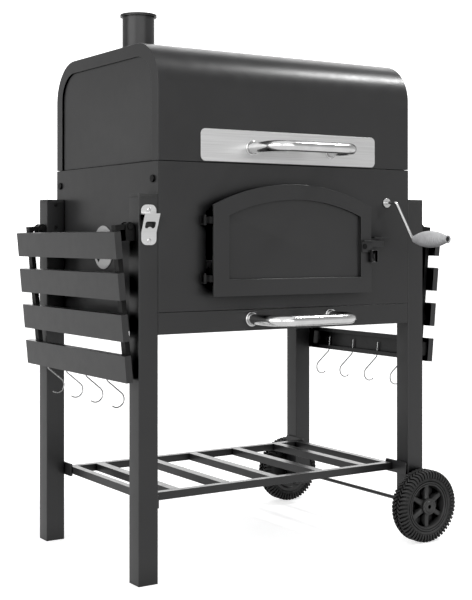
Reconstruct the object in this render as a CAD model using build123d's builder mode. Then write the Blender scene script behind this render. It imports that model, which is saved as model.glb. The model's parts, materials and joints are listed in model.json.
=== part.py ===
"""Box-shaped charcoal barbecue trolley with a chimney, made of separate pieces.

Millimetres, +Z up. The origin is on the floor, at the centre of the whole outline, with the
door, the drawer and the crank facing -Y. The firebox is a little behind the origin, at body_y.
"""
from build123d import *
from math import cos, pi, radians, sin
import os

os.makedirs("parts", exist_ok=True)

# ---- driving dimensions -------------------------------------------------------------------
body_y = 57.5            # centre of the firebox, front to back
box_w, box_d = 600, 438  # firebox outside
box_z0 = 455             # underside of the drawer
drawer_top = 495.5       # seam between drawer and front panel
seam_z = 774             # seam between firebox and lid
lid_gap = 1              # shadow gap at that seam
lid_top, lid_r = 999, 82
sheet = 1.5              # panel thickness
half_w, half_d = box_w / 2, box_d / 2

leg_w, leg_d, leg_top = 40, 37, 713
leg_wall = 1.5
right_leg_z0 = 49        # the wheeled legs end above the floor
foot_t, top_cap_t = 3, 6  # caps under and on each leg

wheel_r, wheel_t, wheel_gap = 75, 38, 7
axle_r = 4
leg_x = half_w + leg_w / 2
leg_y = half_d - leg_d / 2
wheel_y = half_d + wheel_gap + wheel_t / 2

shelf_top, rail = 156, 15
shelf_x, shelf_y = 296, 172       # outside of the shelf frame
slat_w, slat_pitch, shelf_slats_n = 20, 114, 5

handle_r, handle_x, handle_out, handle_bend = 10.3, 95, 91, 36
lid_handle_z, drawer_handle_z = 805, 477

door_x0, door_x1 = -198, 177
door_z0, door_side_z, door_crest = 523, 694.5, 736
door_out, door_deep = 29, 5       # how proud the face stands, and how deep its folded edge is
recess = 6
hinge_x, hinge_out = -206, 12.5
hinge_zs = (557, 666)

latch_x, latch_z = 158, 615.5
keeper_up = 16.5                  # keeper strip above the latch's rivet

crank_x, crank_z, rod_r = 239.6, 705, 3.2
arm_dx, arm_dz, arm_out, arm_lean = 37.4, -75, 40, 8
grip_len = 106
drum_r, cable_r, cable_y = 8.2, 0.8, 190
tray_rim, tray_h = 590, 60      # charcoal tray at its lowest

chimney_x, chimney_r, chimney_top = -222, 32.5, 1078
chimney_foot, chimney_lip = 6, 4  # how far the flange under the lid and the lip on top stand out
cap_r, cap_t = 36.8, 2.5
cap_gap = 0.4                     # running clearance under the cap
cap_pin_x = chimney_x + chimney_r - 1
cap_rivet_x = chimney_x - 16

vent_z, vent_r = 614, 43

pivot_x, pivot_z = 350, 653       # fold axis of the side tables, along Y
tilt = 5.3                        # how far a hanging table leans in at the bottom
face_out = 41.3                   # table face from the pivot, along the table's normal
table_y0, table_y1 = -220.5, 222
table_slat_t, table_slat_h = 13, 49
table_slat_s = (6.5, 81, 156, 231)  # top edges of the slats, down the table from the pivot
arm_y, arm_w, arm_t = 193, 17, 9.5

# ---- planes, all centred on the firebox ---------------------------------------------------
def level(z):
    """Seen from above: x is X, y is Y from the firebox's centre."""
    return Plane((0, body_y, z))


def facing(y):
    """Seen from the front: x is X, y is Z, and an extrusion comes forward."""
    return Plane(origin=(0, body_y + y, 0), x_dir=(1, 0, 0), z_dir=(0, -1, 0))


def side_on(x):
    """Seen from the right: x is Y from the firebox's centre, y is Z; an extrusion goes to +X."""
    return Plane(origin=(x, body_y, 0), x_dir=(0, 1, 0), z_dir=(1, 0, 0))


def table_face(side, depth):
    """On a hanging table: x is along the slats, y is down the table; an extrusion goes outward."""
    lean = radians(tilt)
    normal = Vector(side * cos(lean), 0, -sin(lean))
    start = Vector(side * pivot_x, body_y, pivot_z) + normal * depth
    return Plane(origin=start, x_dir=(0, -side, 0), z_dir=normal)


def table_section(side, y):
    """Across a hanging table: x is outward from the pivot, y is down the table."""
    lean = radians(tilt)
    return Plane(
        origin=(side * pivot_x, body_y + y, pivot_z),
        x_dir=(side * cos(lean), 0, -sin(lean)),
        z_dir=(0, side, 0),
    )


def block(plane, x0, x1, y0, y1, amount, mode=Mode.ADD, both=False):
    """A rectangle on a plane, from x0 to x1 and y0 to y1, extruded by amount."""
    with BuildSketch(plane) as base:
        with Locations(((x0 + x1) / 2, (y0 + y1) / 2)):
            Rectangle(x1 - x0, y1 - y0)
    extrude(base.sketch, amount=amount, both=both, mode=mode)


def channel(x0, x1, y0, y1):
    """A square rail of the lower shelf, folded from sheet and open underneath."""
    shelf_z0 = shelf_top - rail
    long_x = x1 - x0 > y1 - y0
    wall_x, wall_y = (0, sheet) if long_x else (sheet, 0)
    block(level(shelf_z0), x0, x1, y0, y1, rail)
    block(level(shelf_z0), x0 + wall_x, x1 - wall_x, y0 + wall_y, y1 - wall_y, rail - sheet,
          mode=Mode.SUBTRACT)


def disc(plane, x, y, radius, amount, mode=Mode.ADD, both=False):
    """A round boss, pin or hole at (x, y) of a plane."""
    with BuildSketch(plane) as base:
        with Locations((x, y)):
            Circle(radius)
    extrude(base.sketch, amount=amount, both=both, mode=mode)


def rod(points, radius, bend):
    """A round bar along a path of points, with every corner bent to the same radius."""
    with BuildLine() as path:
        FilletPolyline(*points, radius=bend)
    with BuildSketch(Plane(origin=path.line @ 0, z_dir=path.line % 0)) as section:
        Circle(radius)
    sweep(section.sketch, path=path.line)


def finish(part, name):
    """Labels a finished piece and writes it as its own file."""
    part.label = name
    export_step(part, f"parts/{name}.step")


# ---- legs, feet and axle ------------------------------------------------------------------
def make_leg(name, side, end, z0):
    """A square tube, open at both ends."""
    with BuildPart() as leg:
        height = leg_top - z0 - foot_t - top_cap_t
        with BuildSketch(level(z0 + foot_t)) as section:
            with Locations((leg_x * side, leg_y * end)):
                RectangleRounded(leg_w, leg_d, 1.2)
                Rectangle(leg_w - 2 * leg_wall, leg_d - 2 * leg_wall, mode=Mode.SUBTRACT)
        extrude(section.sketch, amount=height)
        if side > 0:
            disc(facing(leg_y * end), leg_x, wheel_r, axle_r + 0.06, leg_d, Mode.SUBTRACT, True)
    finish(leg.part, name)


make_leg("leg_front_left", -1, -1, 0)
make_leg("leg_rear_left", -1, 1, 0)
make_leg("leg_front_right", 1, -1, right_leg_z0)
make_leg("leg_rear_right", 1, 1, right_leg_z0)

with BuildPart() as leg_caps:
    plug_w, plug_d = leg_w - 2 * leg_wall - 0.6, leg_d - 2 * leg_wall - 0.6
    for side, z0 in ((-1, 0), (1, right_leg_z0)):
        for end in (-1, 1):
            for z, thick, plug in ((z0, foot_t, 12), (leg_top, -top_cap_t, -12)):
                with BuildSketch(level(z)) as cap:
                    with Locations((leg_x * side, leg_y * end)):
                        RectangleRounded(leg_w, leg_d, 1.2)
                extrude(cap.sketch, amount=thick)
                with BuildSketch(level(z + thick)) as cap:
                    with Locations((leg_x * side, leg_y * end)):
                        Rectangle(plug_w, plug_d)
                extrude(cap.sketch, amount=plug)
finish(leg_caps.part, "leg_caps")

axle_end = half_d + wheel_gap + wheel_t - 6
with BuildPart() as axle_rod:
    disc(facing(0), leg_x, wheel_r, axle_r, axle_end, both=True)
finish(axle_rod.part, "axle_rod")


# ---- wheels: a rubber tyre on a spoked plastic rim ----------------------------------------
tyre_in, hub_r, spoke_n, spoke_w = 52, 17, 6, 12


def make_wheel(name, end):
    y_in = end * (half_d + wheel_gap)
    y_mid = end * wheel_y
    with BuildPart() as tyre:
        with BuildSketch(side_on(leg_x)):
            with BuildLine():
                half = wheel_t / 2
                a = (y_mid - half + 5, tyre_in + wheel_r)
                b = (y_mid - half, tyre_in + 9 + wheel_r)
                c = (y_mid - half + 2, 2 * wheel_r - 7)
                d = (y_mid - half + 9, 2 * wheel_r)
                e = (y_mid + half - 9, 2 * wheel_r)
                f = (y_mid + half - 2, 2 * wheel_r - 7)
                g = (y_mid + half, tyre_in + 9 + wheel_r)
                h = (y_mid + half - 5, tyre_in + wheel_r)
                Polyline(a, b, c, d, e, f, g, h, close=True)
            make_face()
        revolve(axis=Axis((leg_x, 0, wheel_r), (0, 1, 0)))
    finish(tyre.part, f"{name}_tyre")

    with BuildPart() as rim:
        wide = wheel_t - 10
        disc(facing(y_mid), leg_x, wheel_r, tyre_in - 0.05, wide / 2, both=True)
        disc(facing(y_mid), leg_x, wheel_r, tyre_in - 6, wide / 2, Mode.SUBTRACT, True)
        disc(facing(y_mid), leg_x, wheel_r, hub_r, wide / 2, both=True)
        with BuildSketch(facing(y_mid)):
            with Locations((leg_x, wheel_r)):
                with PolarLocations(tyre_in / 2 + 6, spoke_n, start_angle=90):
                    Rectangle(tyre_in - 16, spoke_w)
        extrude(amount=7, both=True)
        # a closed web behind the spokes
        disc(facing(y_mid - end * 6), leg_x, wheel_r, tyre_in - 5, 1.5, both=True)
        # the hub reaches in to the leg and out over the axle's end
        disc(facing(y_in), leg_x, wheel_r, 11, -end * wheel_t)
        disc(facing(y_mid), leg_x, wheel_r, axle_r + 0.06, 2 * wheel_t, Mode.SUBTRACT, True)
    finish(rim.part, f"{name}_rim")


make_wheel("wheel_front", -1)
make_wheel("wheel_rear", 1)


# ---- lower shelf --------------------------------------------------------------------------
between = shelf_y - rail - 0.1
with BuildPart() as shelf_rails:
    for end in (-1, 1):
        y0, y1 = sorted((end * shelf_y, end * (shelf_y - rail)))
        channel(-shelf_x, shelf_x, y0, y1)
    for side in (-1, 1):
        x0, x1 = sorted((side * shelf_x, side * (shelf_x - rail)))
        channel(x0, x1, -between, between)
finish(shelf_rails.part, "shelf_rails")

with BuildPart() as shelf_slats:
    for i in range(shelf_slats_n):
        x = (i - (shelf_slats_n - 1) / 2) * slat_pitch
        channel(x - slat_w / 2, x + slat_w / 2, -between, between)
finish(shelf_slats.part, "shelf_slats")

with BuildPart() as shelf_brackets:
    for side in (-1, 1):
        for end in (-1, 1):
            y0, y1 = sorted((end * 150, end * (half_d - 3)))
            with BuildSketch(side_on(side * (shelf_x + half_w) / 2)):
                with Locations(((y0 + y1) / 2, shelf_top - 7)):
                    RectangleRounded(y1 - y0, 26, 4)
            extrude(amount=(half_w - shelf_x) / 2 - 0.02, both=True)
finish(shelf_brackets.part, "shelf_brackets")

# ---- firebox ------------------------------------------------------------------------------
side_h = seam_z - box_z0
slot_in, slot_out, slot_half, slot_turn = 15, 36, 34, 24


def vent_slots(side, trim):
    """Two curved slots, opposite each other; trim makes them smaller all round."""
    with BuildSketch(side_on(side * half_w)) as slots:
        for middle in (-slot_turn, 180 - slot_turn):
            a0, a1 = radians(middle - slot_half + trim), radians(middle + slot_half - trim)
            inner, outer = slot_in + trim, slot_out - trim
            with BuildLine() as outline:
                near = [(inner * cos(a), vent_z + inner * sin(a)) for a in (a0, (a0 + a1) / 2, a1)]
                far = [(outer * cos(a), vent_z + outer * sin(a)) for a in (a0, (a0 + a1) / 2, a1)]
                ThreePointArc(*near)
                ThreePointArc(*far)
                Line(near[0], far[0])
                Line(near[2], far[2])
            make_face(outline.edges())
    extrude(slots.sketch, amount=4, both=True, mode=Mode.SUBTRACT)


def make_firebox_side(name, side):
    with BuildPart() as panel:
        x = side * (half_w - sheet / 2)
        block(side_on(x), -half_d, half_d, box_z0, seam_z, sheet / 2, both=True)
        disc(side_on(x), 0, vent_z, 4.06, sheet, Mode.SUBTRACT, True)
        vent_slots(side, 2)
        for y in (-200, 200):
            disc(side_on(x), y, seam_z - 32, 4.2, sheet, Mode.SUBTRACT, True)
    finish(panel.part, name)


make_firebox_side("firebox_left_panel", -1)
make_firebox_side("firebox_right_panel", 1)

in_w = half_w - sheet - 0.02
with BuildPart() as firebox_rear_panel:
    block(facing(half_d - sheet), -in_w, in_w, box_z0, seam_z, -sheet)
    disc(facing(half_d), crank_x, crank_z, 5, 3 * sheet, Mode.SUBTRACT, True)
finish(firebox_rear_panel.part, "firebox_rear_panel")


def arch(x0, x1, z0, z_side, z_crest):
    """An upright rectangle with an arched top."""
    with BuildLine() as outline:
        Polyline((x1, z_side), (x1, z0), (x0, z0), (x0, z_side))
        ThreePointArc((x0, z_side), ((x0 + x1) / 2, z_crest), (x1, z_side))
    make_face(outline.edges())


open_x0, open_x1, open_z0, open_side, open_crest = -196, 160, 540, 682, 716
with BuildPart() as firebox_front_panel:
    block(facing(sheet - half_d), -in_w, in_w, drawer_top + 0.5, seam_z, sheet)
    with BuildSketch(facing(sheet - half_d)):
        arch(open_x0, open_x1, open_z0, open_side, open_crest)
    extrude(amount=2 * sheet, both=True, mode=Mode.SUBTRACT)
    disc(facing(-half_d), crank_x, crank_z, 5, 3 * sheet, Mode.SUBTRACT, True)
finish(firebox_front_panel.part, "firebox_front_panel")

# L angles along the side walls: the lowest pair carries the drawer, the middle pair stops the
# charcoal tray and the top pair carries the cooking grates
ledge_tops = (box_z0 + 4, tray_rim - 1.6, seam_z - 18)
with BuildPart() as support_angles:
    for side in (-1, 1):
        for top in ledge_tops:
            wall = side * in_w
            x0, x1 = sorted((wall, wall - side * 20))
            block(level(top - sheet), x0, x1, 5 - half_d, half_d - 5, sheet)
            x0, x1 = sorted((wall, wall - side * sheet))
            upright = 15 if top == ledge_tops[1] else 3.5
            block(level(top - upright), x0, x1, 5 - half_d, half_d - 5, upright)
finish(support_angles.part, "support_angles")

with BuildPart() as frame_bolts:
    for side in (-1, 1):
        for y in (-200, 200):
            disc(side_on(side * half_w), y, seam_z - 32, 7, side * 3.5)
            disc(side_on(side * (half_w + 3.5)), y, seam_z - 32, 4, -side * 12)
            disc(side_on(side * (half_w - sheet)), y, seam_z - 32, 6.5, -side * 5)
        for end in (-1, 1):
            inside = end * (half_d - leg_d)
            for z in (655, 702):
                disc(facing(inside), side * leg_x, z, 3.5, end * 2)
finish(frame_bolts.part, "frame_bolts")


# ---- rotating vents on the side walls ------------------------------------------------------
def make_vent(name, side):
    with BuildPart() as vent:
        disc(side_on(side * (half_w + 0.3)), 0, vent_z, vent_r, side * 1.2)
        vent_slots(side, 0)
        disc(side_on(side * (half_w + 1.5)), 0, vent_z, 7, side * 2)
        disc(side_on(side * (half_w + 1.5)), 0, vent_z, 4, -side * 4)
        disc(side_on(side * (half_w - sheet - 0.4)), 0, vent_z, 7, -side * 1.6)
    finish(vent.part, name)


make_vent("vent_disc_left", -1)
make_vent("vent_disc_right", 1)


# ---- cooking grates -----------------------------------------------------------------------
grate_z = ledge_tops[2]
wire_r = 2.5


def make_grate(name, x0, x1):
    """A welded wire grate: a rectangular rim with bars from front to back."""
    with BuildPart() as grate:
        y = half_d - 19
        for end in (-1, 1):
            y0, y1 = sorted((end * y, end * (y - 5)))
            block(level(grate_z + 0.2), x0, x1, y0, y1, 5)
        for x in (x0, x1 - 5):
            block(level(grate_z + 0.2), x, x + 5, -y, y, 5)
        bars = 15
        pitch = (x1 - x0) / (bars + 1)
        for i in range(bars):
            disc(facing(0), x0 + (i + 1) * pitch, grate_z + 2.8, wire_r - 0.1, y - 2, both=True)
        for cross in (-y / 2, y / 2):
            block(level(grate_z + 0.2), x0, x1, cross - 2, cross + 2, 2.8)
    finish(grate.part, name)


make_grate("cooking_grate_left", -290, -1)
make_grate("cooking_grate_right", 1, 290)

# ---- lid ----------------------------------------------------------------------------------
lid_z0 = seam_z + lid_gap
flange = 25


def hood(inset, z0, mode=Mode.ADD):
    """The lid's profile from the side, drawn in by inset."""
    y, top, r = half_d - inset, lid_top - inset, lid_r - inset
    slant = r * sin(pi / 4)
    with BuildLine() as outline:
        Polyline((-y, top - r), (-y, z0), (y, z0), (y, top - r))
        ThreePointArc((y, top - r), (y - r + slant, top - r + slant), (y - r, top))
        Line((y - r, top), (r - y, top))
        ThreePointArc((r - y, top), (r - y - slant, top - r + slant), (-y, top - r))
    make_face(outline.edges(), mode=mode)


with BuildPart() as lid_wrap:
    with BuildSketch(side_on(0)):
        hood(0, lid_z0)
    extrude(amount=half_w, both=True)
    with BuildSketch(side_on(0)):
        hood(sheet, lid_z0 - 1)
    extrude(amount=half_w - sheet, both=True, mode=Mode.SUBTRACT)
    with BuildSketch(side_on(0)):
        hood(flange, lid_z0 - 1)
    extrude(amount=half_w + 1, both=True, mode=Mode.SUBTRACT)
    disc(level(lid_top), chimney_x, 0, chimney_r + 0.05, 3 * sheet, Mode.SUBTRACT, True)
finish(lid_wrap.part, "lid_wrap")


def make_lid_side(name, side):
    """A side panel set back behind the wrap's border, with a rim that meets the border."""
    with BuildPart() as panel:
        x = side * (half_w - 4)
        with BuildSketch(side_on(x)):
            hood(sheet + 0.3, lid_z0)
        extrude(amount=-side * sheet)
        with BuildSketch(side_on(x)):
            hood(sheet + 0.3, lid_z0)
            hood(6, lid_z0, mode=Mode.SUBTRACT)
        extrude(amount=side * (4 - sheet - 0.02))
    finish(panel.part, name)


make_lid_side("lid_side_left", -1)
make_lid_side("lid_side_right", 1)

plate_t = 1
with BuildPart() as lid_plate:
    with BuildSketch(facing(-half_d)):
        with Locations((0, 807.5)):
            RectangleRounded(418, 61, 10)
    extrude(amount=plate_t)
finish(lid_plate.part, "lid_plate")


def handle_path(z, root):
    """A U of tube standing out from the front, from its left foot to its right one."""
    return [
        (-handle_x, body_y - root, z),
        (-handle_x, body_y - half_d - handle_out, z),
        (handle_x, body_y - half_d - handle_out, z),
        (handle_x, body_y - root, z),
    ]


def make_handle(name, z, root):
    with BuildPart() as handle:
        rod(handle_path(z, root), handle_r, handle_bend)
    finish(handle.part, name)
    with BuildPart() as flanges:
        for side in (-1, 1):
            disc(facing(-root), side * handle_x, z, 14.5, 3.5)
            disc(facing(-root), side * handle_x, z, handle_r + 0.05, 8, Mode.SUBTRACT, True)
    finish(flanges.part, f"{name}_flanges")


make_handle("lid_handle", lid_handle_z, half_d + plate_t)
make_handle("drawer_handle", drawer_handle_z, half_d)

inside_lid = lid_top - sheet - 0.05
flange_t, lip_t = 2.5, 2
with BuildPart() as chimney_tube:
    disc(level(inside_lid - flange_t), chimney_x, 0, chimney_r + chimney_foot, flange_t)
    disc(level(inside_lid), chimney_x, 0, chimney_r, chimney_top - inside_lid)
    disc(level(chimney_top), chimney_x, 0, cap_r, -lip_t)
    disc(level(inside_lid), chimney_x, 0, chimney_r - sheet, chimney_top, Mode.SUBTRACT, True)
    disc(level(chimney_top), cap_pin_x, 0, 5, -6)
    disc(level(chimney_top), cap_pin_x, 0, 2.06, 20, Mode.SUBTRACT, True)
finish(chimney_tube.part, "chimney_tube")

cap_z = chimney_top + cap_gap
with BuildPart() as chimney_cap:
    disc(level(cap_z), chimney_x, 0, cap_r, cap_t)
    disc(level(cap_z + cap_t), cap_pin_x, 0, 5, 1.4)
    disc(level(cap_z), cap_pin_x, 0, 2, -7.4)
    disc(level(cap_z + cap_t), cap_rivet_x, 0, 3, 3.6)
finish(chimney_cap.part, "chimney_cap")

# lid hinges at the rear: a leaf on each half, on one pin
hinge_y, hinge_z, hinge_xs = half_d + 7, seam_z + 1, (-190, 190)
pin_r, barrel_r = 3, 6
with BuildPart() as lid_hinge_lower:
    for x in hinge_xs:
        block(facing(half_d), x - 30, x + 30, seam_z - 45, seam_z - 7, -2)
        for dx in (-20, 20):
            block(facing(half_d), x + dx - 10, x + dx + 10, seam_z - 7, hinge_z, -5)
            disc(side_on(x + dx), hinge_y, hinge_z, barrel_r, 9.7, both=True)
        disc(side_on(x), hinge_y, hinge_z, barrel_r + 0.2, 10.3, Mode.SUBTRACT, True)
        disc(side_on(x), hinge_y, hinge_z, pin_r, 34, both=True)
finish(lid_hinge_lower.part, "lid_hinge_lower")

with BuildPart() as lid_hinge_upper:
    for x in hinge_xs:
        block(facing(half_d), x - 30, x + 30, seam_z + 9, seam_z + 47, -2)
        block(facing(half_d), x - 9.7, x + 9.7, hinge_z, seam_z + 12, -5)
        disc(side_on(x), hinge_y, hinge_z, barrel_r, 9.7, both=True)
        disc(side_on(x), hinge_y, hinge_z, pin_r + 0.06, 20, Mode.SUBTRACT, True)
finish(lid_hinge_upper.part, "lid_hinge_upper")

# ---- charcoal door ------------------------------------------------------------------------
face_y = -half_d - door_out
with BuildPart() as door_panel:
    with BuildSketch(facing(face_y)):
        arch(door_x0, door_x1, door_z0, door_side_z, door_crest)
    extrude(amount=-door_deep)
    with BuildSketch(facing(face_y + sheet)):
        arch(door_x0 + sheet, door_x1 - sheet, door_z0 + sheet, door_side_z - 1, door_crest - sheet)
    extrude(amount=-door_deep, mode=Mode.SUBTRACT)
    with BuildSketch(facing(face_y)):
        arch(door_x0 + 33, door_x1 - 25, 553, 675.5, 708)
    extrude(amount=-recess - sheet)
    with BuildSketch(facing(face_y)):
        arch(door_x0 + 34.5, door_x1 - 26.5, 554.5, 674.7, 706.5)
    extrude(amount=-recess, mode=Mode.SUBTRACT)
finish(door_panel.part, "door_panel")

pin_y = -half_d - hinge_out
with BuildPart() as door_hinge_pins:
    for z in hinge_zs:
        block(level(z - 10), hinge_x - 4, hinge_x + 6, -half_d - 2, -half_d, 20)
        block(level(z - 10), hinge_x - 3, hinge_x + 3, pin_y, -half_d - 2, 3)
        disc(level(z - 10), hinge_x, pin_y, 4, 3)
        disc(level(z - 7), hinge_x, pin_y, 2.5, 17)
finish(door_hinge_pins.part, "door_hinge_pins")

with BuildPart() as door_hinge_barrels:
    for z in hinge_zs:
        disc(level(z - 6.8), hinge_x, pin_y, 4, 13)
        block(level(z - 6.8), hinge_x, door_x0 - 0.02, face_y + 2, pin_y + 2, 13)
        disc(level(z), hinge_x, pin_y, 2.56, 30, Mode.SUBTRACT, True)
finish(door_hinge_barrels.part, "door_hinge_barrels")

latch_y = face_y - 0.5
catch_x, catch_z, catch_w, catch_h, catch_deep = 179, 595.8, 16, 25, 9
with BuildPart() as door_latch:
    with BuildSketch(facing(latch_y)) as plate:
        with Locations((latch_x + 7, latch_z)):
            Rectangle(26, 24)
        with Locations((latch_x + 32, latch_z + 5)):
            Rectangle(34, 12)
    extrude(plate.sketch, amount=2)
    block(facing(latch_y), latch_x - 6, latch_x + 20, latch_z + 10, latch_z + 12, 9)
    x0, x1 = catch_x - catch_w / 2, catch_x + catch_w / 2
    z0, z1 = catch_z - catch_h / 2, catch_z + catch_h / 2
    block(facing(latch_y), x0, x1, z0, z1, catch_deep)
    block(facing(latch_y - 1.5), x0 + 1.2, x1 - 1.2, z0 + 1.2, z1 - 1.2, catch_deep, Mode.SUBTRACT)
    disc(facing(latch_y), latch_x, latch_z, 3.06, 10, Mode.SUBTRACT, True)
    block(facing(latch_y - 1), catch_x - 1.5, catch_x + 1.5, catch_z - 4, catch_z + 5, 5)
finish(door_latch.part, "door_latch")

with BuildPart() as latch_pin:
    disc(facing(face_y - 0.02), latch_x, latch_z, 3, 3.2)
    disc(facing(face_y - 3), latch_x, latch_z, 5.5, 1)
finish(latch_pin.part, "latch_pin")

with BuildPart() as latch_keeper:
    block(level(latch_z + keeper_up), latch_x + 32, latch_x + 70, -half_d - 24, -half_d, 2)
    block(level(latch_z + keeper_up - 10), latch_x + 32, latch_x + 70, -half_d - 2, -half_d, 10)
finish(latch_keeper.part, "latch_keeper")

# ---- ash drawer ---------------------------------------------------------------------------
drawer_z0 = ledge_tops[0] + 0.3
pan_x, pan_y = 292, 208
with BuildPart() as ash_drawer_tray:
    block(level(drawer_z0), -pan_x, pan_x, sheet - half_d, pan_y, 30)
    block(level(drawer_z0 + sheet), sheet - pan_x, pan_x - sheet, 2 * sheet - half_d,
          pan_y - sheet, 40, mode=Mode.SUBTRACT)
finish(ash_drawer_tray.part, "ash_drawer_tray")

with BuildPart() as ash_drawer_front:
    block(facing(sheet - half_d), -in_w, in_w, box_z0, drawer_top, sheet)
finish(ash_drawer_front.part, "ash_drawer_front")

# ---- height-adjustable charcoal tray ------------------------------------------------------
tray_x, tray_y = 266, 172
tray_floor = tray_rim - tray_h
with BuildPart() as charcoal_tray:
    block(level(tray_floor), -tray_x, tray_x, -tray_y, tray_y, tray_h)
    block(level(tray_rim - sheet), -288, 288, -205, 205, sheet)
    block(level(tray_floor + sheet), sheet - tray_x, tray_x - sheet, sheet - tray_y,
          tray_y - sheet, tray_h, mode=Mode.SUBTRACT)
    with BuildSketch(level(tray_floor)):
        with GridLocations(60, 60, 8, 5):
            SlotOverall(30, 8)
    extrude(amount=4 * sheet, both=True, mode=Mode.SUBTRACT)
finish(charcoal_tray.part, "charcoal_tray")

with BuildPart() as charcoal_grate:
    gx, gy, gz = tray_x - 4, tray_y - 4, tray_floor + 12
    for end in (-1, 1):
        y0, y1 = sorted((end * gy, end * (gy - 5)))
        block(level(gz), -gx, gx, y0, y1, 5)
    for i in range(24):
        x = -gx + 2.5 + i * (2 * gx - 5) / 23
        block(level(gz), x - 2.5, x + 2.5, -gy, gy, 5)
    for side in (-1, 1):
        for end in (-1, 1):
            x0, x1 = sorted((side * gx, side * (gx - 5)))
            y0, y1 = sorted((end * gy, end * (gy - 5)))
            block(level(tray_floor + sheet + 0.02), x0, x1, y0, y1, gz - tray_floor - sheet)
finish(charcoal_grate.part, "charcoal_grate")

# on each drum one cable drops straight to the tray, and another leaves from underneath, runs
# left over a guide and drops to the tray's other end, so that one turn lifts both ends alike
wind_r = drum_r + cable_r
run_z = crank_z - wind_r
guide_x = -250
with BuildPart() as lift_cables:
    for end in (-1, 1):
        y = body_y + end * cable_y
        foot_z = tray_rim + 0.05
        disc(level(foot_z), crank_x + wind_r, end * cable_y, cable_r, crank_z - foot_z)
        rod([(crank_x, y, run_z), (guide_x, y, run_z), (guide_x, y, foot_z)], cable_r, wind_r)
finish(lift_cables.part, "lift_cables")

with BuildPart() as cable_guides:
    for end in (-1, 1):
        inside = end * (half_d - sheet - 0.02)
        reach = end * (half_d - sheet - cable_y + 5)
        disc(facing(inside), guide_x + wind_r, run_z - wind_r, drum_r - 0.3, reach)
        disc(facing(end * (cable_y - 5)), guide_x + wind_r, run_z - wind_r, drum_r + 1, 1, both=True)
finish(cable_guides.part, "cable_guides")

# ---- crank --------------------------------------------------------------------------------
elbow_y = -half_d - arm_out
grip_y0 = elbow_y - 0.5
grip_end = elbow_y - grip_len
rod_rear = half_d - 2.5
with BuildPart() as crank_rod:
    y0 = body_y
    rod([(crank_x, y0 + rod_rear, crank_z), (crank_x, y0 + elbow_y + arm_lean, crank_z),
         (crank_x + arm_dx, y0 + elbow_y, crank_z + arm_dz),
         (crank_x + arm_dx, y0 + grip_end + 8, crank_z + arm_dz)], rod_r, 5)
    disc(facing(grip_end + 10), crank_x + arm_dx, crank_z + arm_dz, 5, 2)
    for end in (-1, 1):
        disc(facing(end * cable_y), crank_x, crank_z, drum_r - 0.3, 5, both=True)
        for edge in (-6, 6):
            disc(facing(end * cable_y + edge), crank_x, crank_z, drum_r + 4, 1, both=True)
finish(crank_rod.part, "crank_rod")

with BuildPart() as crank_bearings:
    disc(facing(-half_d), crank_x, crank_z, 9.7, 4)
    disc(facing(2 - half_d), crank_x, crank_z, 4.9, 4)
    disc(facing(half_d - sheet), crank_x, crank_z, 11, 5)
    disc(facing(half_d), crank_x, crank_z, 4.9, 4)
    disc(facing(0), crank_x, crank_z, rod_r + 0.06, half_d - sheet - 0.5, Mode.SUBTRACT, True)
    disc(facing(-half_d), crank_x, crank_z, rod_r + 0.06, 12, Mode.SUBTRACT, True)
finish(crank_bearings.part, "crank_bearings")

grip_neck, grip_belly, grip_hole, hole_deep = 7.5, 17, 5.4, 12
with BuildPart() as crank_grip:
    gx, gz = crank_x + arm_dx, crank_z + arm_dz
    with BuildSketch(Plane(origin=(gx, body_y, gz), x_dir=(0, 1, 0), z_dir=(1, 0, 0))):
        with BuildLine():
            back = Line((grip_y0 - 5, rod_r + 0.06), (grip_y0 - 5, grip_neck))
            belly = ThreePointArc(back @ 1, (grip_y0 - 57, grip_belly), (grip_end + 4, 8.5))
            Polyline(belly @ 1, (grip_end + 2, 8.4), (grip_end, 7.6), (grip_end, grip_hole),
                     (grip_end + hole_deep, grip_hole), (grip_end + hole_deep, rod_r + 0.06), back @ 0)
        make_face()
    revolve(axis=Axis((gx, 0, gz), (0, 1, 0)))
finish(crank_grip.part, "crank_grip")


# ---- fold-down side tables ----------------------------------------------------------------
ear_y = (9.2, 11.2)      # inner and outer face of each bracket ear, from the arm's centre line
ear_r, ear_foot = 8.7, 26
bolt_r = 3
with BuildPart() as table_brackets:
    for side in (-1, 1):
        for end in (-1, 1):
            y = end * arm_y
            back = side * (half_w + leg_w)
            low = pivot_z - ear_foot
            block(side_on(back), y - ear_y[1], y + ear_y[1], low, pivot_z, side * 2)
            for ear in (-1, 1):
                with BuildSketch(facing(y + ear * (ear_y[0] + ear_y[1]) / 2)):
                    with Locations((side * pivot_x, pivot_z)):
                        Circle(ear_r)
                    with Locations(((back + side * (pivot_x + ear_r)) / 2, (low + pivot_z) / 2)):
                        Rectangle(pivot_x + ear_r - abs(back), ear_foot)
                extrude(amount=(ear_y[1] - ear_y[0]) / 2, both=True)
            disc(facing(y), side * pivot_x, pivot_z, bolt_r + 0.06, 15, Mode.SUBTRACT, True)
finish(table_brackets.part, "table_brackets")

with BuildPart() as table_pivot_bolts:
    for side in (-1, 1):
        for end in (-1, 1):
            y = end * arm_y
            disc(facing(y), side * pivot_x, pivot_z, bolt_r, ear_y[1] + 3, both=True)
            for ear in (-1, 1):
                disc(facing(y + ear * (ear_y[1] + 1.6)), side * pivot_x, pivot_z, 5, 1.5, both=True)
finish(table_pivot_bolts.part, "table_pivot_bolts")

hook_r, hook_wire, hook_ys = 15, 1.3, (-132, -44, 44, 132)
hook_n, hook_s = 19, 322     # centre of the hook's curl, out from and down from the pivot
last_slat_inside = table_slat_s[-1] + 20


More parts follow.
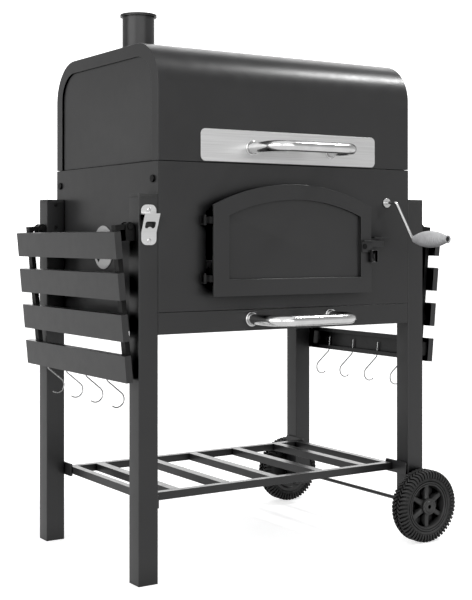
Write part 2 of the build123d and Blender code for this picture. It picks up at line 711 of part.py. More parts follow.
def make_table(name, side):
    face = table_face(side, face_out - table_slat_t)
    arm_face = table_face(side, face_out - table_slat_t - arm_t - 0.02)
    # along the slats, local x runs towards -Y on the right table
    a0, a1 = sorted((-side * table_y0, -side * table_y1))
    with BuildPart() as slats:
        for s in table_slat_s:
            block(face, a0, a1, s, s + table_slat_h, table_slat_t)
            block(face, a0 + sheet, a1 - sheet, s + sheet, s + table_slat_h - sheet,
                  table_slat_t - sheet, mode=Mode.SUBTRACT)
        last = table_slat_s[-1]
        for s in table_slat_s:
            for lip in (s, s + table_slat_h - 9):
                block(face, a0, a1, lip, lip + 9, sheet)
        for y in hook_ys:
            drop = table_section(side, y)
            block(drop, 33.5, 38.5, last + table_slat_h - 10, last + table_slat_h + 2, 2.5,
                  Mode.SUBTRACT, True)
    finish(slats.part, f"{name}_slats")

    with BuildPart() as arms:
        for end in (-1, 1):
            y = -side * end * arm_y
            block(arm_face, y - arm_w / 2, y + arm_w / 2, -5, 278, arm_t)
            with BuildSketch(table_section(side, end * arm_y)):
                Circle(6.5)
                with Locations((10, 0)):
                    Rectangle(20, 10)
            extrude(amount=arm_w / 2, both=True)
            disc(table_section(side, end * arm_y), 0, 0, bolt_r + 0.06, 12, Mode.SUBTRACT, True)
    finish(arms.part, f"{name}_arms")

    with BuildPart() as hooks:
        diag = hook_r * sin(pi / 4)
        near = (hook_n - diag, hook_s - diag)
        top_n = 36
        knee = (top_n, near[1] - (top_n - near[0]))
        for y in hook_ys:
            section = table_section(side, y)
            with BuildLine(section) as wire:
                FilletPolyline((top_n, last_slat_inside), knee, near, radius=6)
                ThreePointArc(near, (hook_n - diag, hook_s + diag), (hook_n + diag, hook_s + diag))
            with BuildSketch(Plane(origin=wire.line @ 0, z_dir=wire.line % 0)):
                Circle(hook_wire)
            sweep(path=wire.line)
    finish(hooks.part, f"{name}_hooks")


make_table("table_left", -1)
make_table("table_right", 1)

# ---- bottle opener on the front left leg --------------------------------------------------
opener_z = (619.5, 642, 675, 693)   # foot, bend, lip and top
opener_half, opener_lip, opener_t = 15.6, 15, 2
screw_zs = (628, 684)
with BuildPart() as bottle_opener:
    foot, bend, lip, top = opener_z
    y = -half_d
    with BuildSketch(side_on(-leg_x)):
        with BuildLine():
            Polyline((y, foot), (y, bend), (y - opener_lip, lip), (y, lip), (y, top),
                     (y - opener_t, top), (y - opener_t, lip + opener_t),
                     (y - opener_lip - opener_t, lip + opener_t), (y - opener_t, bend),
                     (y - opener_t, foot), close=True)
        make_face()
    extrude(amount=opener_half, both=True)
    upright = bottle_opener.edges().filter_by(Axis.Y)
    fillet(upright.group_by(Axis.Z)[0] + upright.group_by(Axis.Z)[-1], radius=10.5)
    with BuildSketch(facing(-half_d)) as mouth:
        with Locations((-leg_x, 656)):
            RectangleRounded(21, 12, 3.5)
        with Locations((-leg_x, 647)):
            Circle(5.5, mode=Mode.SUBTRACT)
    extrude(mouth.sketch, amount=30, both=True, mode=Mode.SUBTRACT)
    for z in screw_zs:
        disc(facing(-half_d), -leg_x, z, 2.6, 10, Mode.SUBTRACT, True)
finish(bottle_opener.part, "bottle_opener")

with BuildPart() as opener_screws:
    for z in screw_zs:
        disc(facing(-half_d - 2.02), -leg_x, z, 4, 2)
        disc(facing(-half_d - 3), -leg_x, z, 2.5, -2.98)
finish(opener_screws.part, "opener_screws")
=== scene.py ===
"""The looks of the charcoal barbecue trolley: camera, studio light, finishes and detailed pieces.

Everything is in metres in the part's own frame: +Z up, the door, drawer and crank face -Y.
"""

import json
from math import cos, pi, radians, sin

import bmesh
import bpy
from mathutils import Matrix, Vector


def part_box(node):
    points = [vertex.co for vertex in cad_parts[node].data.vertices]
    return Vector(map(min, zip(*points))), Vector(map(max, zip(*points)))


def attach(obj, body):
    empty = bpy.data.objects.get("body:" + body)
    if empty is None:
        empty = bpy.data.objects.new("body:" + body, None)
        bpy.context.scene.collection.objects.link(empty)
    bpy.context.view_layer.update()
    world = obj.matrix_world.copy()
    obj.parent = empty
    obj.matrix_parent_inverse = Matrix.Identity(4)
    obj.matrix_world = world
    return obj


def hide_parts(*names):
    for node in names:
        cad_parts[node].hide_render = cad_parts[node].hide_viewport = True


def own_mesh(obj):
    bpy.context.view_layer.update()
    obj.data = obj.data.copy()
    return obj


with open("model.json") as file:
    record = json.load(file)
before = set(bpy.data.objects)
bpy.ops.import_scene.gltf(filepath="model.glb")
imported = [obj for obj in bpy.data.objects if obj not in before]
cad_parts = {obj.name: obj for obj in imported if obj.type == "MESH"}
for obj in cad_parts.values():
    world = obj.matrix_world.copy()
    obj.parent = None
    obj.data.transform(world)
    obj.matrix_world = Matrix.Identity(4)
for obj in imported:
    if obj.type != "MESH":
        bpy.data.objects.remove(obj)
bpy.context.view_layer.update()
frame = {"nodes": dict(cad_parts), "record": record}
record = frame["record"]
node_body = {node: body for body, members in record["behaviour"]["bodies"].items() for node in members}
node_slot = {row["node"]: row["material_slot"] for row in record["subparts"]}
MM = 0.001


# ---- finishes -----------------------------------------------------------------------------
class Finish:
    """A Principled shader whose colour, roughness and relief are driven by 3-D noise."""

    def __init__(self, name, rough, metallic=0.0):
        self.material = bpy.data.materials.new(name)
        self.material.use_nodes = True
        self.tree = self.material.node_tree
        self.shader = self.tree.nodes["Principled BSDF"]
        self.shader.inputs["Roughness"].default_value = rough
        self.shader.inputs["Metallic"].default_value = metallic
        self.place = self.add("ShaderNodeTexCoord").outputs["Object"]
        self.relief = None

    def add(self, kind, **settings):
        node = self.tree.nodes.new(kind)
        for key, value in settings.items():
            setattr(node, key, value)
        return node

    def link(self, source, target):
        self.tree.links.new(source, target)

    def stretched(self, scale):
        mapping = self.add("ShaderNodeMapping")
        mapping.inputs["Scale"].default_value = scale
        self.link(self.place, mapping.inputs["Vector"])
        return mapping.outputs["Vector"]

    def noise(self, scale, detail=3.0, stretch=None):
        """A noise from 0 to 1 whose features are about 1 / scale metres wide."""
        noise = self.add("ShaderNodeTexNoise")
        noise.inputs["Scale"].default_value = scale
        noise.inputs["Detail"].default_value = detail
        self.link(self.stretched(stretch) if stretch else self.place, noise.inputs["Vector"])
        return noise.outputs["Fac"]

    def cells(self, scale):
        cells = self.add("ShaderNodeTexVoronoi")
        cells.inputs["Scale"].default_value = scale
        self.link(self.place, cells.inputs["Vector"])
        return cells.outputs["Color"]

    def colour(self, value, dark, light, low=0.35, high=0.65, shade_reach=0):
        """Blends two colours by a value; a painted shade darkens the colour where other surfaces lie within
        the given reach in metres.
        """
        ramp = self.add("ShaderNodeValToRGB")
        ramp.color_ramp.elements[0].position = low
        ramp.color_ramp.elements[0].color = (*dark, 1)
        ramp.color_ramp.elements[1].position = high
        ramp.color_ramp.elements[1].color = (*light, 1)
        self.link(value, ramp.inputs["Fac"])
        shown = ramp.outputs["Color"]
        # painted shade: ambient occlusion darkens the base colour in hollows and between parts
        if shade_reach:
            hidden = self.add("ShaderNodeAmbientOcclusion", samples=8)
            hidden.inputs["Distance"].default_value = shade_reach
            open_air = self.add("ShaderNodeMapRange")
            open_air.inputs["From Min"].default_value = 0.35
            open_air.inputs["From Max"].default_value = 0.85
            self.link(hidden.outputs["AO"], open_air.inputs["Value"])
            painted_shade = self.add("ShaderNodeVectorMath", operation="SCALE")
            self.link(shown, painted_shade.inputs[0])
            self.link(open_air.outputs["Result"], painted_shade.inputs["Scale"])
            shown = painted_shade.outputs["Vector"]
        self.link(shown, self.shader.inputs["Base Color"])

    def roughness(self, value, smooth, rough):
        spread = self.add("ShaderNodeMapRange")
        spread.inputs["From Min"].default_value = 0.3
        spread.inputs["From Max"].default_value = 0.7
        spread.inputs["To Min"].default_value = smooth
        spread.inputs["To Max"].default_value = rough
        self.link(value, spread.inputs["Value"])
        self.link(spread.outputs["Result"], self.shader.inputs["Roughness"])

    def bump(self, value, depth, strength=1.0):
        bump = self.add("ShaderNodeBump")
        bump.inputs["Distance"].default_value = depth
        bump.inputs["Strength"].default_value = strength
        self.link(value, bump.inputs["Height"])
        if self.relief:
            self.link(self.relief, bump.inputs["Normal"])
        self.relief = bump.outputs["Normal"]
        self.link(self.relief, self.shader.inputs["Normal"])

    def constant(self, **values):
        for key, value in values.items():
            self.shader.inputs[key.replace("_", " ")].default_value = value


def grey(value, tint=0.0):
    return (value, value, value * (1 + tint))


def powder_coat():
    look = Finish("powder_coat", 0.32)
    # painted shade: the coat's colour darkens where other parts lie within 70 mm, as behind the table slats
    # and round the door
    look.colour(look.noise(6, 2), grey(0.031, 0.02), grey(0.035, 0.02), shade_reach=0.07)
    look.roughness(look.noise(45, 4), 0.29, 0.36)
    look.bump(look.noise(850, 2), 0.00006, 0.5)
    look.bump(look.noise(160, 2), 0.00008, 0.35)
    return look.material


# partly painted shade: this finish is far darker than the powder coat, standing for the shade its parts sit
# in as well as a darker steel of their own
def dark_steel_and_shade():
    look = Finish("blackened_steel", 0.5)
    look.colour(look.noise(14, 3), grey(0.008), grey(0.013))
    look.roughness(look.noise(60, 4), 0.42, 0.58)
    look.bump(look.noise(700, 2), 0.00008, 0.6)
    look.constant(Specular_IOR_Level=0.22)
    return look.material


def galvanised():
    look = Finish("galvanised", 0.42, 1.0)
    look.colour(look.cells(140), grey(0.30, 0.03), grey(0.50, 0.03), 0.1, 0.9)
    look.roughness(look.noise(60, 3), 0.34, 0.52)
    look.bump(look.noise(300, 3), 0.00005, 0.5)
    return look.material


def brushed():
    look = Finish("brushed_stainless", 0.34, 1.0)
    streaks = look.noise(1, 5, (9, 1400, 1700))
    look.colour(streaks, grey(0.60), grey(0.74), 0.3, 0.7)
    look.roughness(streaks, 0.28, 0.42)
    look.bump(streaks, 0.00003, 0.6)
    look.constant(Anisotropic=0.5)
    return look.material


def polished():
    look = Finish("polished_steel", 0.18, 1.0)
    look.colour(look.noise(30, 3), grey(0.66), grey(0.74))
    look.roughness(look.noise(220, 4), 0.15, 0.23)
    look.bump(look.noise(500, 2), 0.00001, 0.5)
    return look.material


def chromed_wire():
    look = Finish("chromed_wire", 0.16, 1.0)
    look.colour(look.noise(40, 3), grey(0.30), grey(0.42))
    look.roughness(look.noise(150, 3), 0.12, 0.24)
    look.bump(look.noise(700, 2), 0.00002, 0.4)
    return look.material


def cast_iron():
    look = Finish("cast_iron", 0.7, 0.35)
    look.colour(look.noise(120, 4), grey(0.035), grey(0.075))
    look.roughness(look.noise(200, 3), 0.55, 0.8)
    look.bump(look.noise(420, 4), 0.0003, 0.8)
    return look.material


def grey_plastic():
    look = Finish("grey_plastic", 0.45)
    look.colour(look.noise(70, 3), grey(0.52, 0.02), grey(0.60, 0.02))
    look.roughness(look.noise(180, 3), 0.38, 0.5)
    look.bump(look.noise(900, 2), 0.00004, 0.5)
    return look.material


def black_plastic():
    look = Finish("black_plastic", 0.4)
    # painted shade: the colour darkens in hollows within 12 mm
    look.colour(look.noise(50, 3), grey(0.030), grey(0.042), shade_reach=0.012)
    look.roughness(look.noise(160, 3), 0.34, 0.46)
    look.bump(look.noise(800, 2), 0.00005, 0.6)
    return look.material


def rubber():
    look = Finish("rubber", 0.62)
    # painted shade: the colour darkens in the tread's grooves, within 5 mm
    look.colour(look.noise(90, 4), grey(0.044), grey(0.060), shade_reach=0.005)
    look.roughness(look.noise(200, 4), 0.55, 0.75)
    look.bump(look.noise(650, 3), 0.00009, 0.7)
    look.constant(Specular_IOR_Level=0.25)
    return look.material


LOOKS = {
    "black_powder_coat": powder_coat(),
    "blackened_steel": dark_steel_and_shade(),
    "galvanised_steel": galvanised(),
    "brushed_stainless": brushed(),
    "polished_steel": polished(),
    "chromed_wire": chromed_wire(),
    "cast_iron": cast_iron(),
    "grey_plastic": grey_plastic(),
    "black_plastic": black_plastic(),
    "black_rubber": rubber(),
}

for name, node in frame["nodes"].items():
    node.data.materials.clear()
    node.data.materials.append(LOOKS[node_slot[name]])


# ---- mesh tools ---------------------------------------------------------------------------
SHARP = 35       # degrees, the turn between two faces that makes a hard edge
MERGE = 1e-6     # vertices this close become one


def piece_from(bm, name, node, replace=True, sharp=SHARP, slot=None):
    """Turns a bmesh into a piece that rides with a node's body and shares its finish."""
    slot = slot or node_slot[node]
    bmesh.ops.recalc_face_normals(bm, faces=bm.faces)
    mesh = bpy.data.meshes.new(name)
    bm.to_mesh(mesh)
    bm.free()
    piece = bpy.data.objects.new(name, mesh)
    bpy.context.scene.collection.objects.link(piece)
    mesh.materials.append(LOOKS[slot])
    for polygon in mesh.polygons:
        polygon.use_smooth = True
    mesh.set_sharp_from_angle(angle=radians(sharp))
    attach(piece, node_body[node])
    if replace:
        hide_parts(node)
    return piece


def softened(node, width, slot=None):
    """A copy of a node's shape with its hard edges rounded off, shown in the node's place."""
    bm = bmesh.new()
    bm.from_mesh(frame["nodes"][node].data)
    bmesh.ops.remove_doubles(bm, verts=bm.verts, dist=MERGE)
    bmesh.ops.dissolve_limit(bm, angle_limit=radians(1), verts=bm.verts, edges=bm.edges)
    piece = piece_from(bm, f"{node}_skin", node, slot=slot)
    bevel = piece.modifiers.new("rounded_edges", "BEVEL")
    bevel.width = width
    bevel.segments = 2
    bevel.limit_method = "ANGLE"
    bevel.angle_limit = radians(SHARP)
    bevel.harden_normals = True
    return piece


def ring(bm, points):
    return [bm.verts.new(p) for p in points]


def bridge(bm, a, b):
    """The band of faces between two closed rings of as many vertices."""
    for i in range(len(a)):
        j = (i + 1) % len(a)
        bm.faces.new((a[i], a[j], b[j], b[i]))


def turned(bm, profile, centre, axis, steps=96, closed=False):
    """Spins (distance along the axis, radius) pairs round an axis through centre.

    An open profile is capped at both ends; a closed one joins up with itself.
    """
    turn = Vector((0, 0, 1)).rotation_difference(axis).to_matrix()
    rings = []
    for along, radius in profile:
        circle = [
            centre + turn @ Vector((radius * cos(a), radius * sin(a), along))
            for a in (2 * pi * i / steps for i in range(steps))
        ]
        rings.append(ring(bm, circle))
    for a, b in zip(rings, rings[1:]):
        bridge(bm, a, b)
    if closed:
        bridge(bm, rings[-1], rings[0])
    else:
        bm.faces.new(rings[0])
        bm.faces.new(list(reversed(rings[-1])))


def rounded_path(points, radius, steps):
    """The points of a polyline whose corners are replaced with arcs."""
    path = [Vector(points[0])]
    for before, corner, after in zip(points, points[1:], points[2:]):
        corner = Vector(corner)
        to_before = (Vector(before) - corner).normalized()
        to_after = (Vector(after) - corner).normalized()
        half = to_before.angle(to_after) / 2
        reach = radius / (sin(half) / cos(half))
        middle = corner + (to_before + to_after).normalized() * (radius / sin(half))
        start, end = corner + to_before * reach, corner + to_after * reach
        a, b = start - middle, end - middle
        sweep = a.angle(b)
        for i in range(steps + 1):
            t = i / steps
            path.append(middle + (a * sin((1 - t) * sweep) + b * sin(t * sweep)) / sin(sweep))
    path.append(Vector(points[-1]))
    return path


def tube(bm, path, radius, sides):
    """A round bar along a path, with closed ends."""
    normal = (path[1] - path[0]).orthogonal().normalized()
    rings = []
    for i, point in enumerate(path):
        tangent = (path[min(i + 1, len(path) - 1)] - path[max(i - 1, 0)]).normalized()
        normal = (normal - tangent * normal.dot(tangent)).normalized()
        side = tangent.cross(normal)
        turns = [2 * pi * k / sides for k in range(sides)]
        rings.append(ring(bm, [point + (normal * cos(a) + side * sin(a)) * radius for a in turns]))
    for a, b in zip(rings, rings[1:]):
        bridge(bm, a, b)
    bm.faces.new(rings[0])
    bm.faces.new(list(reversed(rings[-1])))


def solids_of(node):
    """The lowest and highest corners of each separate solid of a CAD node."""
    bm = bmesh.new()
    bm.from_mesh(frame["nodes"][node].data)
    bmesh.ops.remove_doubles(bm, verts=bm.verts, dist=MERGE)
    left = set(bm.verts)
    boxes = []
    while left:
        front = [left.pop()]
        island = list(front)
        while front:
            vert = front.pop()
            for edge in vert.link_edges:
                other = edge.other_vert(vert)
                if other in left:
                    left.remove(other)
                    front.append(other)
                    island.append(other)
        places = [v.co for v in island]
        low = Vector([min(p[k] for p in places) for k in range(3)])
        high = Vector([max(p[k] for p in places) for k in range(3)])
        boxes.append((low, high))
    bm.free()
    return sorted(boxes, key=lambda b: tuple(round(c, 4) for c in b[0]))


# ---- folded sheet and tube: rounded edges -------------------------------------------------
ROUNDED = {
    1.2: ["frame_bolts"],
    0.9: ["lid_wrap", "latch_pin"],
    0.5: ["door_panel"],
    0.6: [
        "lid_side_left", "lid_side_right", "firebox_left_panel", "firebox_right_panel",
        "firebox_front_panel", "firebox_rear_panel", "ash_drawer_front", "chimney_tube",
        "chimney_cap", "latch_keeper", "door_latch", "table_brackets", "table_pivot_bolts",
        "shelf_rails", "shelf_slats", "shelf_brackets", "table_left_arms", "table_right_arms",
        "table_left_slats", "table_right_slats", "leg_caps", "leg_front_left", "leg_rear_left",
        "leg_front_right", "leg_rear_right", "lid_hinge_lower", "lid_hinge_upper",
        "door_hinge_pins", "door_hinge_barrels", "crank_bearings", "axle_rod",
    ],
    0.3: [
        "lid_plate", "bottle_opener", "vent_disc_left", "vent_disc_right", "ash_drawer_tray",
        "charcoal_tray", "support_angles", "cable_guides", "crank_rod", "cooking_grate_left",
        "cooking_grate_right", "charcoal_grate",
    ],
}
for width, members in ROUNDED.items():
    for node in members:
        softened(node, width * MM)
# the tables' thin hooks look darker than the polished handles
for node in ("table_left_hooks", "table_right_hooks"):
    softened(node, 0.2 * MM, slot="chromed_wire")


# ---- handles ------------------------------------------------------------------------------
HANDLE_BEND = 36 * MM


def make_handle(node):
    low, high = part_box(node)
    radius, z = (high.z - low.z) / 2, (low.z + high.z) / 2
    left, right, out = low.x + radius, high.x - radius, low.y + radius
    corners = [(left, high.y, z), (left, out, z), (right, out, z), (right, high.y, z)]
    bm = bmesh.new()
    tube(bm, rounded_path(corners, HANDLE_BEND, 14), radius, 48)
    piece_from(bm, f"{node}_bar", node)

    flanges = f"{node}_flanges"
    bm = bmesh.new()
    for low, high in solids_of(flanges):
        centre = Vector(((low.x + high.x) / 2, high.y, (low.z + high.z) / 2))
        outer, tall = (high.x - low.x) / 2, high.y - low.y
        inner = radius + 0.05 * MM
        crown = outer - 1.4 * MM
        profile = [(0, inner), (0, outer), (tall * 0.45, outer), (tall * 0.85, outer - 0.5 * MM),
                   (tall, crown), (tall * 0.85, inner + 0.8 * MM), (tall * 0.6, inner)]
        turned(bm, profile, centre, Vector((0, -1, 0)), 64, closed=True)
    piece_from(bm, f"{flanges}_rings", flanges)


make_handle("lid_handle")
make_handle("drawer_handle")


# ---- crank grip ---------------------------------------------------------------------------
def make_grip(node, ribs=19):
    """A spindle of ringed plastic with a lip and a plugged hole at its outer end."""
    low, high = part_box(node)
    length, belly = high.y - low.y, (high.z - low.z) / 2
    start = Vector(((low.x + high.x) / 2, high.y, (low.z + high.z) / 2))
    neck, body = 7.4 * MM, length - 5 * MM
    bore, hole, hole_depth = 3.3 * MM, 5.4 * MM, 12 * MM
    lip = 8.2 * MM
    profile = [(0, bore), (0, neck - 0.8 * MM), (0.8 * MM, neck)]
    steps = ribs * 8
    for i in range(steps + 1):
        t = i / steps
        swell = neck + (belly - neck) * (1 - (2 * t - 1) ** 2)
        groove = 1.5 * MM * max(0.0, cos(2 * pi * ribs * t)) ** 3 if 0 < i < steps else 0
        profile.append((1.4 * MM + t * (body - 1.4 * MM), swell - groove))
    profile += [(body + 0.5 * MM, neck - 0.6 * MM), (body + 1.2 * MM, neck - 0.6 * MM),
                (body + 2 * MM, lip), (length - 0.8 * MM, lip), (length, lip - 0.8 * MM),
                (length, hole + 0.5 * MM), (length - 0.5 * MM, hole),
                (length - hole_depth, hole), (length - hole_depth, bore)]
    bm = bmesh.new()
    turned(bm, profile, start, Vector((0, -1, 0)), 64, closed=True)
    piece_from(bm, "crank_grip_spindle", node, sharp=60)
    bm = bmesh.new()
    cap = length - 2.5 * MM
    turned(bm, [(cap - 1.5 * MM, hole - 0.1 * MM), (cap, hole - 0.1 * MM), (cap, 2.6 * MM),
                (cap - 0.8 * MM, 2 * MM)], start, Vector((0, -1, 0)), 48)
    piece_from(bm, "crank_grip_plug", node, replace=False, slot="black_plastic")


make_grip("crank_grip")


# ---- lift cables --------------------------------------------------------------------------
def make_cables(node):
    """A copy of the cables' shape with its own mesh, shown in the node's place."""
    bm = bmesh.new()
    bm.from_mesh(frame["nodes"][node].data)
    bmesh.ops.remove_doubles(bm, verts=bm.verts, dist=MERGE)
    wires = piece_from(bm, f"{node}_wires", node)
    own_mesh(wires)


make_cables("lift_cables")


# ---- wheels -------------------------------------------------------------------------------
LUGS = 54


def make_tyre(node):
    """A tyre with ribs up both sidewalls that run on as a chevron tread to a middle groove."""
    low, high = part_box(node)
    centre, radius, half = (low + high) / 2, (high.z - low.z) / 2, (high.y - low.y) / 2
    axle = Vector((0, 1, 0))
    tread = radius - 4.2 * MM
    side = half - 1.8 * MM
    bead, groove = radius - 23 * MM, 1.6 * MM
    outline = [(side - 3 * MM, bead), (side - 0.6 * MM, bead + 2 * MM), (side, bead + 4.6 * MM),
               (side - 0.5 * MM, bead + 6 * MM), (side - 0.4 * MM, tread - 5 * MM),
               (side - 2.4 * MM, tread - 1.6 * MM), (side - 6 * MM, tread), (groove, tread),
               (groove, tread - 2.2 * MM)]
    profile = outline + [(-along, r) for along, r in reversed(outline)]
    bm = bmesh.new()
    turned(bm, profile, centre, axle, 144, closed=True)
    # along the axle, radius, which way is out, height of the rib, turn as a share of the pitch
    stations = [
        (side - 0.6 * MM, bead + 6.4 * MM, (1, 0), 0.1 * MM, 0),
        (side - 0.6 * MM, bead + 7.6 * MM, (1, 0), 2.2 * MM, 0),
        (side - 0.6 * MM, tread - 4 * MM, (1, 0), 2.3 * MM, 0),
        (side - 2.6 * MM, tread - 1.8 * MM, (0.6, 0.8), 4.0 * MM, 0.1),
        (side - 6 * MM, tread - 0.1 * MM, (0, 1), 4.2 * MM, 0.35),
        (side - 9 * MM, tread - 0.1 * MM, (0, 1), 4.2 * MM, 0.6),
        (groove + 0.5 * MM, tread - 0.1 * MM, (0, 1), 4.2 * MM, -0.1),
    ]
    pitch = 2 * pi / LUGS
    for mirror in (-1, 1):
        for lug in range(LUGS):
            rings = []
            for along, r, out, tall, turn in stations:
                corners = []
                for share, lift in ((-0.29, 0), (-0.25, tall), (0.25, tall), (0.29, 0)):
                    a = pitch * (lug + turn + share + (0.5 if mirror > 0 else 0))
                    reach, place = r + out[1] * lift, along + out[0] * lift
                    corners.append(centre + Vector((reach * cos(a), mirror * place, reach * sin(a))))
                rings.append(ring(bm, corners))
            for a, b in zip(rings, rings[1:]):
                bridge(bm, a, b)
            bm.faces.new(rings[0])
            bm.faces.new(list(reversed(rings[-1])))
    piece_from(bm, f"{node}_tread", node, sharp=40)


def make_rim(node, outward):
    """A moulded rim: stepped outer ring, closed web, six rounded spokes and a capped hub."""
    low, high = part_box(node)
    centre, radius, half = (low + high) / 2, (high.z - low.z) / 2, (high.y - low.y) / 2
    axle = Vector((0, outward, 0))
    wide, bore = half - 5 * MM, 4.06 * MM
    bm = bmesh.new()
    rim_ring = [(-wide, radius), (wide, radius), (wide + 1.4 * MM, radius - 1 * MM),
                (wide + 1.4 * MM, radius - 3 * MM), (wide - 0.6 * MM, radius - 4 * MM),
                (wide - 0.6 * MM, radius - 5.2 * MM), (wide + 0.8 * MM, radius - 6 * MM),
                (wide + 0.8 * MM, radius - 8 * MM), (wide - 2 * MM, radius - 9.6 * MM),
                (-4.5 * MM, radius - 10.4 * MM), (-4.5 * MM, bore + 6 * MM), (-7.5 * MM, bore + 6 * MM),
                (-7.5 * MM, radius - 10 * MM), (-wide, radius - 6 * MM)]
    turned(bm, rim_ring, centre, axle, 128, closed=True)
    cap = half - 0.1 * MM
    hub = [(-half, bore), (-half, 11 * MM), (-wide, 11 * MM), (-wide, 16 * MM), (4 * MM, 17 * MM),
           (cap - 3.5 * MM, 16.4 * MM), (cap - 2.4 * MM, 17 * MM), (cap - 1 * MM, 16.6 * MM),
           (cap - 0.4 * MM, 15 * MM), (cap - 1.2 * MM, 13 * MM), (cap - 1.2 * MM, 11.6 * MM),
           (cap - 0.2 * MM, 10.8 * MM), (cap, 9 * MM), (cap, 5.2 * MM), (cap - 0.8 * MM, bore)]
    turned(bm, hub, centre, axle, 96, closed=True)
    inner, outer = 13 * MM, radius - 8.6 * MM
    for spoke in range(6):
        a = pi / 2 + spoke * pi / 3
        along, across = Vector((cos(a), 0, sin(a))), Vector((-sin(a), 0, cos(a)))
        rings = []
        for r, broad, top in ((inner, 6.4, 13), (inner + 8 * MM, 5.6, 11.5),
                              (outer - 8 * MM, 5.6, 10.5), (outer, 6, 10.5)):
            shape = [(-broad, -5), (-broad, top - 3), (-broad * 0.7, top - 0.8), (0, top),
                     (broad * 0.7, top - 0.8), (broad, top - 3), (broad, -5)]
            rings.append(ring(bm, [centre + along * r + across * x * MM + axle * u * MM for x, u in shape]))
        for a_ring, b_ring in zip(rings, rings[1:]):
            bridge(bm, a_ring, b_ring)
        bm.faces.new(rings[0])
        bm.faces.new(list(reversed(rings[-1])))
    piece_from(bm, f"{node}_moulding", node, sharp=40)


for wheel, outward in (("wheel_front", -1), ("wheel_rear", 1)):
    make_tyre(f"{wheel}_tyre")
    make_rim(f"{wheel}_rim", outward)


# ---- opener screws ------------------------------------------------------------------------
bm = bmesh.new()
for low, high in solids_of("opener_screws"):
    seat = low.y + 2 * MM
    centre = Vector(((low.x + high.x) / 2, seat, (low.z + high.z) / 2))
    head = (high.x - low.x) / 2
    turned(bm, [(-2.9 * MM, 2.4 * MM), (0, 2.4 * MM), (0, head), (0.9 * MM, head),
                (1.7 * MM, head * 0.8), (1.9 * MM, head * 0.55), (1.9 * MM, head * 0.45),
                (0.9 * MM, head * 0.36)], centre, Vector((0, -1, 0)), 48)
piece_from(bm, "opener_screw_heads", "opener_screws")

# ---- floor, light and camera --------------------------------------------------------------
FLOOR = 30                   # half the floor's width
FLOOR_GLOW = 0.66            # what the camera sees it give
FLOOR_MIRRORED = 0.75        # what gloss mirrors of it
FLOOR_DULL = 0.15            # how pale it is to all other light
WORLD_STRENGTHS = (2.0, 0.6, 0.05)   # to the camera, in gloss and as plain light
CEILING = 0.3                # the strength straight up, as a share of the walls'
BLACK_LEVEL = 0.004
bm = bmesh.new()
ground = [bm.verts.new(((i % 2 * 2 - 1) * FLOOR, (i // 2 * 2 - 1) * FLOOR, 0)) for i in (0, 1, 3, 2)]
bm.faces.new(ground)
mesh = bpy.data.meshes.new("floor")
bm.to_mesh(mesh)
bm.free()
floor = bpy.data.objects.new("floor", mesh)
bpy.context.scene.collection.objects.link(floor)
pale = Finish("pale_floor", 0.9)
pale.colour(pale.noise(3, 2), grey(0.84), grey(0.86))
pale.constant(Emission_Color=(1, 1, 1, 1), Emission_Strength=FLOOR_GLOW)


def by_ray(tree, camera, gloss, other):
    """A strength that differs between what the camera sees, what gloss mirrors and plain light."""
    ray = tree.nodes.new("ShaderNodeLightPath")
    value = None
    for name, share in (("Is Camera Ray", camera - other), ("Is Glossy Ray", gloss - other)):
        step = tree.nodes.new("ShaderNodeMath")
        step.operation = "MULTIPLY_ADD"
        step.inputs[1].default_value = share
        step.inputs[2].default_value = other
        tree.links.new(ray.outputs[name], step.inputs[0])
        if value:
            tree.links.new(value, step.inputs[2])
        value = step.outputs["Value"]
    return value


# the floor the camera sees is pale; what lights the object from below is a duller one
dull = pale.add("ShaderNodeBsdfDiffuse")
dull.inputs["Color"].default_value = (*grey(FLOOR_DULL), 1)
sheen = pale.add("ShaderNodeEmission")
pale.link(by_ray(pale.tree, 0, FLOOR_MIRRORED, 0), sheen.inputs["Strength"])
unseen = pale.add("ShaderNodeAddShader")
pale.link(dull.outputs[0], unseen.inputs[0])
pale.link(sheen.outputs[0], unseen.inputs[1])
floor_mix = pale.add("ShaderNodeMixShader")
pale.link(pale.add("ShaderNodeLightPath").outputs["Is Camera Ray"], floor_mix.inputs["Fac"])
pale.link(unseen.outputs[0], floor_mix.inputs[1])
pale.link(pale.shader.outputs[0], floor_mix.inputs[2])
pale.link(floor_mix.outputs[0], pale.tree.nodes["Material Output"].inputs["Surface"])
mesh.materials.append(pale.material)

world = bpy.data.worlds.new("studio")
bpy.context.scene.world = world
world.use_nodes = True
room = world.node_tree.nodes["Background"]
room.inputs["Color"].default_value = (1, 1, 1, 1)
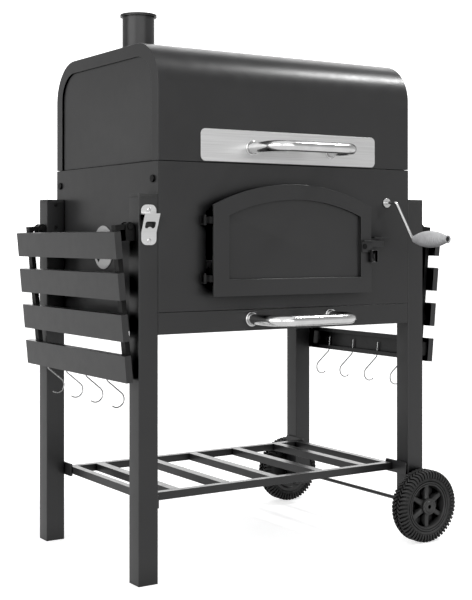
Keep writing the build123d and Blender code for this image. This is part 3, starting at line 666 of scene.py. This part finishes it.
# the studio's walls are bright and its ceiling is dim
up = world.node_tree.nodes.new("ShaderNodeSeparateXYZ")
dim = world.node_tree.nodes.new("ShaderNodeMapRange")
level = world.node_tree.nodes.new("ShaderNodeMath")
level.operation = "MULTIPLY"
for socket, value in (("From Min", 0.05), ("From Max", 0.85), ("To Min", 1.0), ("To Max", CEILING)):
    dim.inputs[socket].default_value = value
place = world.node_tree.nodes.new("ShaderNodeTexCoord").outputs["Generated"]
world.node_tree.links.new(place, up.inputs["Vector"])
world.node_tree.links.new(up.outputs["Z"], dim.inputs["Value"])
world.node_tree.links.new(dim.outputs["Result"], level.inputs[0])
world.node_tree.links.new(by_ray(world.node_tree, *WORLD_STRENGTHS), level.inputs[1])
world.node_tree.links.new(level.outputs["Value"], room.inputs["Strength"])


def lamp(name, kind, energy, place, target=(0, 0, 0.7)):
    light = bpy.data.lights.new(name, kind)
    light.energy = energy
    holder = bpy.data.objects.new(name, light)
    holder.location = place
    aim = Vector(target) - Vector(place)
    holder.rotation_euler = aim.to_track_quat("-Z", "Y").to_euler()
    bpy.context.scene.collection.objects.link(holder)
    return light


lamp("sky_panel", "SUN", 1.0, (-0.6, -0.8, 3)).angle = radians(80)
lamp("left_panel", "SUN", 1.9, (-3, -0.7, 1.2)).angle = radians(60)
lamp("front_panel", "SUN", 1.2, (-0.6, -3, 0.9)).angle = radians(60)
lamp("back_panel", "SUN", 1.4, (1.6, 2.6, 2.0)).angle = radians(60)
box = lamp("key_box", "AREA", 34, (1.9, -0.75, 3.0), (0.1, -0.1, 0.95))
box.shape, box.size, box.size_y = "RECTANGLE", 0.4, 0.35

# a level camera: its place, the way it turns from +Y, its lens in mm and the shift of its frame
CAMERA_PLACE = (-1.39415, -2.1071, 0.63078)
CAMERA_TURN = radians(-33.01)
CAMERA_LENS, SENSOR_WIDTH, CAMERA_SHIFT = 73.156, 36, -0.1019
camera = bpy.data.cameras.new("camera")
camera.sensor_fit = "AUTO"
camera.sensor_width = SENSOR_WIDTH
camera.lens = CAMERA_LENS
camera.shift_y = CAMERA_SHIFT
view = bpy.data.objects.new("camera", camera)
view.location = CAMERA_PLACE
view.rotation_euler = (pi / 2, 0, CAMERA_TURN)
bpy.context.scene.collection.objects.link(view)
bpy.context.scene.camera = view
film = bpy.context.scene.view_settings
film.view_transform = "Standard"
film.use_curve_mapping = True
film.curve_mapping.black_level = [BLACK_LEVEL] * 3
